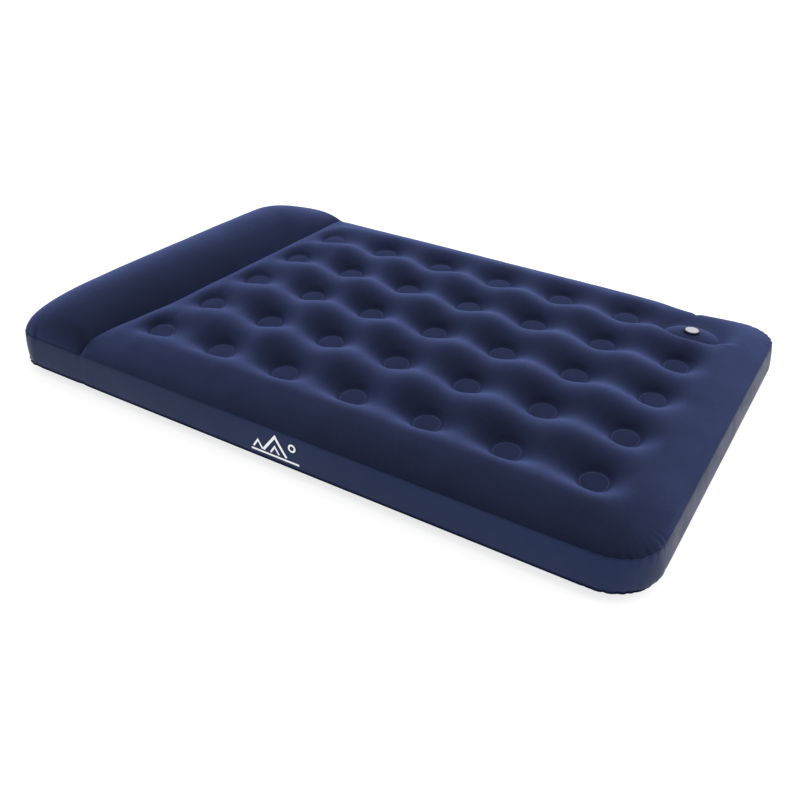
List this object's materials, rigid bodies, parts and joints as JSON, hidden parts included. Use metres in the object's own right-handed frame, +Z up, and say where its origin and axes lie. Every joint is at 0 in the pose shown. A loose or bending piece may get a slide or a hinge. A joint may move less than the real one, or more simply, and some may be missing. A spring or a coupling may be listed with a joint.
{
  "type": "air mattress",
  "caption": "Flocked double air mattress with round weld dimples, a raised full-width pillow, a foot pump set in one corner and a deflation valve on the side.",
  "frame": {"origin": "on the floor under the centre of the bed", "axes": "+X from the pillow to the foot, +Y to the side with the pump and the valve, +Z up"},
  "size_m": [1.91, 1.34, 0.233],
  "materials": {
    "flocked_top": "matte",
    "band_sheet": "satin",
    "base_sheet": "satin",
    "inner_sheet": "satin",
    "pump_skin": "satin",
    "foam": "matte",
    "dark_moulding": "satin",
    "pale_moulding": "satin",
    "flap_rubber": "satin"
  },
  "bodies": {
    "mattress": {"bottom_sheet": "base_sheet", "coil_row1_column1": "inner_sheet", "coil_row1_column2": "inner_sheet", "coil_row1_column3": "inner_sheet", "coil_row1_column4": "inner_sheet", "coil_row1_column5": "inner_sheet", "coil_row1_column6": "inner_sheet", "coil_row1_column7": "inner_sheet", "coil_row2_column1": "inner_sheet", "coil_row2_column2": "inner_sheet", "coil_row2_column3": "inner_sheet", "coil_row2_column4": "inner_sheet", "coil_row2_column5": "inner_sheet", "coil_row2_column6": "inner_sheet", "coil_row2_column7": "inner_sheet", "coil_row3_column1": "inner_sheet", "coil_row3_column2": "inner_sheet", "coil_row3_column3": "inner_sheet", "coil_row3_column4": "inner_sheet", "coil_row3_column5": "inner_sheet", "coil_row3_column6": "inner_sheet", "coil_row3_column7": "inner_sheet", "coil_row4_column1": "inner_sheet", "coil_row4_column2": "inner_sheet", "coil_row4_column3": "inner_sheet", "coil_row4_column4": "inner_sheet", "coil_row4_column5": "inner_sheet", "coil_row4_column6": "inner_sheet", "coil_row4_column7": "inner_sheet", "coil_row5_column1": "inner_sheet", "coil_row5_column2": "inner_sheet", "coil_row5_column3": "inner_sheet", "coil_row5_column4": "inner_sheet", "coil_row5_column5": "inner_sheet", "coil_row5_column6": "inner_sheet", "outlet_seat": "inner_sheet", "pillow_baffle": "inner_sheet", "pillow_sheet": "flocked_top", "pump_bellows": "pump_skin", "pump_foam": "foam", "pump_well": "inner_sheet", "side_band": "band_sheet", "top_sheet": "flocked_top", "valve_base": "dark_moulding"},
    "pump_dome": {"pump_dome": "pump_skin", "intake_collar": "dark_moulding"},
    "intake_cap": {"intake_cap": "pale_moulding"},
    "intake_flap": {"intake_flap": "flap_rubber"},
    "outlet_flap": {"outlet_flap": "flap_rubber"},
    "valve_insert": {"valve_insert": "dark_moulding"},
    "valve_cap": {"valve_cap": "dark_moulding"},
    "valve_flap": {"valve_flap": "flap_rubber"}
  },
  "joints": [
    {"name": "pump_press", "type": "slide", "parent": "mattress", "child": "pump_dome", "axis": [0, 0, -1], "range_m": [0, 0.045], "stiffness_N_per_m": 900, "springref_m": -0.02, "deforming": ["pump_foam", "pump_bellows"]},
    {"name": "intake_cap_lift", "type": "slide", "parent": "pump_dome", "child": "intake_cap", "axis": [0, 0, 1], "range_m": [0, 0.03]},
    {"name": "intake_flap_swing", "type": "hinge", "parent": "pump_dome", "child": "intake_flap", "pos_m": [0.7175, 0.442, 0.1407], "axis": [0, 1, 0], "range_deg": [0, 40], "stiffness_Nm_per_rad": 0.003, "springref_deg": -8.59},
    {"name": "outlet_flap_swing", "type": "hinge", "parent": "mattress", "child": "outlet_flap", "pos_m": [0.716, 0.442, 0.0442], "axis": [0, 1, 0], "range_deg": [0, 50], "stiffness_Nm_per_rad": 0.003, "springref_deg": -8.59},
    {"name": "valve_insert_out", "type": "slide", "parent": "mattress", "child": "valve_insert", "axis": [0, 1, 0], "range_m": [0, 0.03]},
    {"name": "valve_cap_off", "type": "slide", "parent": "valve_insert", "child": "valve_cap", "axis": [0, 1, 0], "range_m": [0, 0.015]},
    {"name": "valve_flap_swing", "type": "hinge", "parent": "valve_insert", "child": "valve_flap", "pos_m": [0.56, 0.645, 0.0848], "axis": [-1, 0, 0], "range_deg": [0, 40]}
  ]
}
